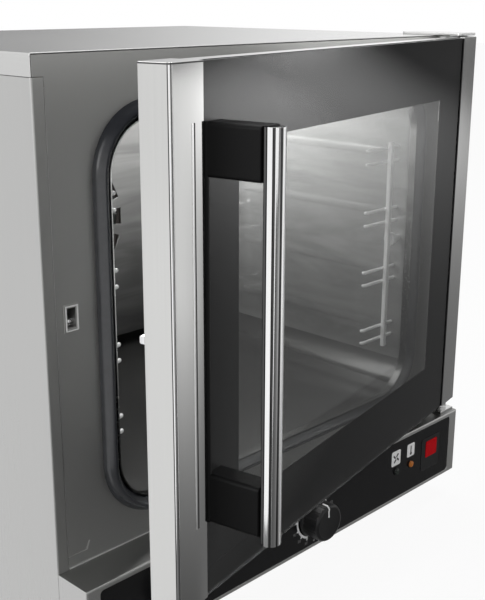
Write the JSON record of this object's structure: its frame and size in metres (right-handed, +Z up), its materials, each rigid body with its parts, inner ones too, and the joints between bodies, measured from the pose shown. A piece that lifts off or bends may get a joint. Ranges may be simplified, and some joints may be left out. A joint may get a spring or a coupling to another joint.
{
  "type": "convection oven",
  "caption": "Counter-top convection oven: steel casing, side-hinged glazed door with fluted handle, wire tray racks, rear fan with ring heater, and a black control panel with turning knobs.",
  "frame": {"origin": "on the surface the oven stands on, at the middle of its footprint between the feet", "axes": "+Z up; -Y towards the door and the user; +X towards the door's hinge side"},
  "size_m": [0.5896, 0.7213, 0.582],
  "materials": {
    "casing_steel": "fine vertical brushing, satin",
    "face_steel": "fine brushing, satin, a shade darker",
    "chamber_steel": "bright satin liner",
    "plated_wire": "bright plated wire",
    "wool": "mineral wool blanket",
    "seal_rubber": "dark silicone, slight sheen",
    "fascia_black": "smooth black",
    "knob_black": "matte black",
    "unit_plastic": "natural moulding",
    "amber_lens": "clear amber lens",
    "green_lens": "unlit green lens",
    "black_plastic": "fine moulded grain",
    "polished_aluminium": "polished extrusion",
    "bright_steel": "polished steel",
    "fan_metal": "dull pressed sheet",
    "motor_paint": "dark varnish",
    "heater_metal": "heat-darkened tube",
    "clear_glass": "clear tempered glass",
    "print_black": "black enamel print",
    "foot_rubber": "dull moulded rubber",
    "lamp_glass": "frosted heatproof glass"
  },
  "bodies": {
    "oven": {"back_panel": "casing_steel", "base_pan": "casing_steel", "cable_gland": "black_plastic", "catch_socket": "bright_steel", "chamber_back_wall": "chamber_steel", "chamber_liner": "chamber_steel", "control_fascia": "fascia_black", "control_housing": "casing_steel", "door_seal": "seal_rubber", "fan_guard": "chamber_steel", "fan_lamp": "green_lens", "fan_motor": "motor_paint", "front_left_foot": "foot_rubber", "front_panel": "face_steel", "front_right_foot": "foot_rubber", "heat_lamp": "amber_lens", "insulation": "wool", "lamp_housing": "bright_steel", "lamp_lens": "lamp_glass", "left_rack_bars": "plated_wire", "left_rack_prongs": "plated_wire", "left_side_panel": "casing_steel", "lower_hinge_plate": "casing_steel", "rack_studs": "plated_wire", "rear_left_foot": "foot_rubber", "rear_motor_cover": "casing_steel", "rear_right_foot": "foot_rubber", "right_rack_bars": "plated_wire", "right_rack_prongs": "plated_wire", "right_side_panel": "casing_steel", "ring_heater": "heater_metal", "steam_outlet": "casing_steel", "temperature_probe": "bright_steel", "terminal_block": "unit_plastic", "thermostat_unit": "unit_plastic", "timer_unit": "unit_plastic", "top_cover": "casing_steel", "upper_hinge_plate": "casing_steel"},
    "door": {"door_left_upright": "casing_steel", "door_right_upright": "casing_steel", "door_top_rail": "casing_steel", "door_bottom_rail": "casing_steel", "outer_glass": "clear_glass", "glass_mask": "print_black", "inner_glass": "clear_glass", "glass_clips": "bright_steel", "handle_upper_bracket": "black_plastic", "handle_lower_bracket": "black_plastic", "handle_bar": "polished_aluminium", "handle_core": "black_plastic", "door_striker": "bright_steel", "door_hinge_bushes": "black_plastic"},
    "fan": {"fan_wheel": "fan_metal", "fan_shaft": "bright_steel"},
    "thermostat": {"thermostat_knob": "knob_black", "thermostat_spindle": "bright_steel"},
    "timer": {"timer_knob": "knob_black", "timer_spindle": "bright_steel"},
    "catch": {"catch_roller": "bright_steel"}
  },
  "joints": [
    {"name": "door_swing", "type": "hinge", "parent": "oven", "child": "door", "pos_m": [0.2845, -0.254, 0.354], "axis": [0, 0, 1], "range_deg": [-11, 99]},
    {"name": "fan_spin", "type": "hinge", "parent": "oven", "child": "fan", "pos_m": [0, 0.16, 0.3395], "axis": [0, 1, 0], "continuous": true},
    {"name": "thermostat_turn", "type": "hinge", "parent": "oven", "child": "thermostat", "pos_m": [0.013, -0.2731, 0.073], "axis": [0, 1, 0], "range_deg": [0, 300]},
    {"name": "timer_turn", "type": "hinge", "parent": "oven", "child": "timer", "pos_m": [-0.192, -0.2731, 0.073], "axis": [0, 1, 0], "range_deg": [0, 315]},
    {"name": "catch_press", "type": "slide", "parent": "oven", "child": "catch", "axis": [0, 0, -1], "range_m": [0, 0.004], "stiffness_N_per_m": 500, "springref_m": -0.002}
  ]
}
